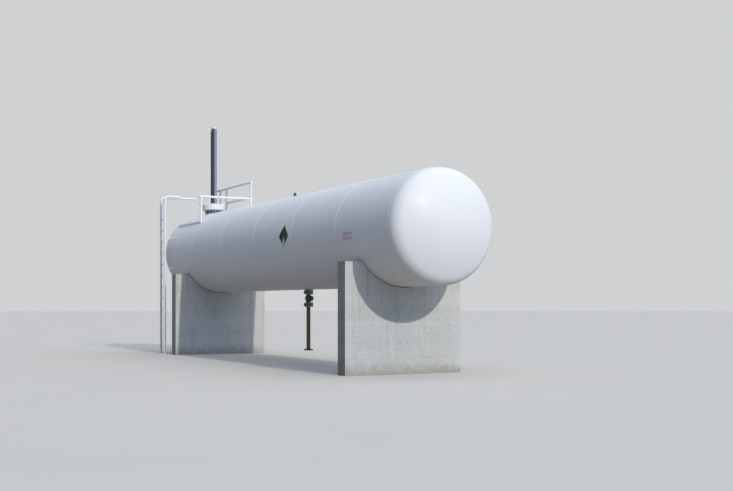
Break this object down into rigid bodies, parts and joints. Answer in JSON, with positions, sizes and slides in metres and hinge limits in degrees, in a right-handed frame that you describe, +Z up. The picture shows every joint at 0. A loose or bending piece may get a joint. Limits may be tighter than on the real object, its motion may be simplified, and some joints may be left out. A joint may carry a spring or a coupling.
{
  "type": "horizontal pressure tank",
  "caption": "Long white horizontal pressure tank with domed ends on concrete saddle piers, with a vent stack over its manway, guard rails, an access ladder and a valved belly outlet.",
  "frame": {"origin": "centre of the base of the front pier, on the ground under the tank's axis", "axes": "+X along the tank towards its front head, +Z up, and +Y across the tank to the side away from the ladder"},
  "size_m": [13.591, 2.623, 6.195],
  "materials": {
    "tank_paint": "semi-gloss white paint over rolled plate, faintly dusty",
    "rail_paint": "semi-gloss white paint on pipe and flat bar",
    "stack_paint": "dull blue-grey paint on steel pipe, weathered",
    "concrete": "board-formed cast concrete, rough and weather-stained",
    "bearing_pad": "matt black pad",
    "rusty_pipe": "rough brown rust over old primer",
    "valve_paint": "worn dark green enamel",
    "fitting_iron": "dark forged steel, weathered",
    "plaque_paint": "faded dark paint, blank"
  },
  "bodies": {
    "root": {"shell_course_1": "tank_paint", "shell_course_2": "tank_paint", "shell_course_3": "tank_paint", "shell_course_4": "tank_paint", "shell_course_5": "tank_paint", "shell_course_6": "tank_paint", "front_head": "tank_paint", "rear_head": "tank_paint", "front_pier": "concrete", "rear_pier": "concrete", "front_bearing_pad": "bearing_pad", "rear_bearing_pad": "bearing_pad", "manway_neck": "tank_paint", "manway_flange": "tank_paint", "manway_cover": "tank_paint", "vent_stack": "stack_paint", "stack_collar": "tank_paint", "rain_cap": "tank_paint", "cap_hinge": "rail_paint", "cap_lever": "rail_paint", "near_base_bar": "rail_paint", "far_base_bar": "rail_paint", "near_post": "rail_paint", "far_front_post": "rail_paint", "far_middle_post": "rail_paint", "far_rear_post": "rail_paint", "cross_rail": "rail_paint", "far_middle_rail": "rail_paint", "far_top_rail": "rail_paint", "ladder_front_stile": "rail_paint", "ladder_rear_stile": "rail_paint", "ladder_rungs": "rail_paint", "ladder_brackets": "rail_paint", "ladder_feet": "rail_paint", "front_grab_rail": "rail_paint", "rear_grab_rail": "rail_paint", "outlet_nozzle": "rusty_pipe", "outlet_valve": "valve_paint", "drop_pipe": "rusty_pipe", "crown_fitting": "fitting_iron", "diamond_plaque": "plaque_paint"}
  },
  "joints": []
}
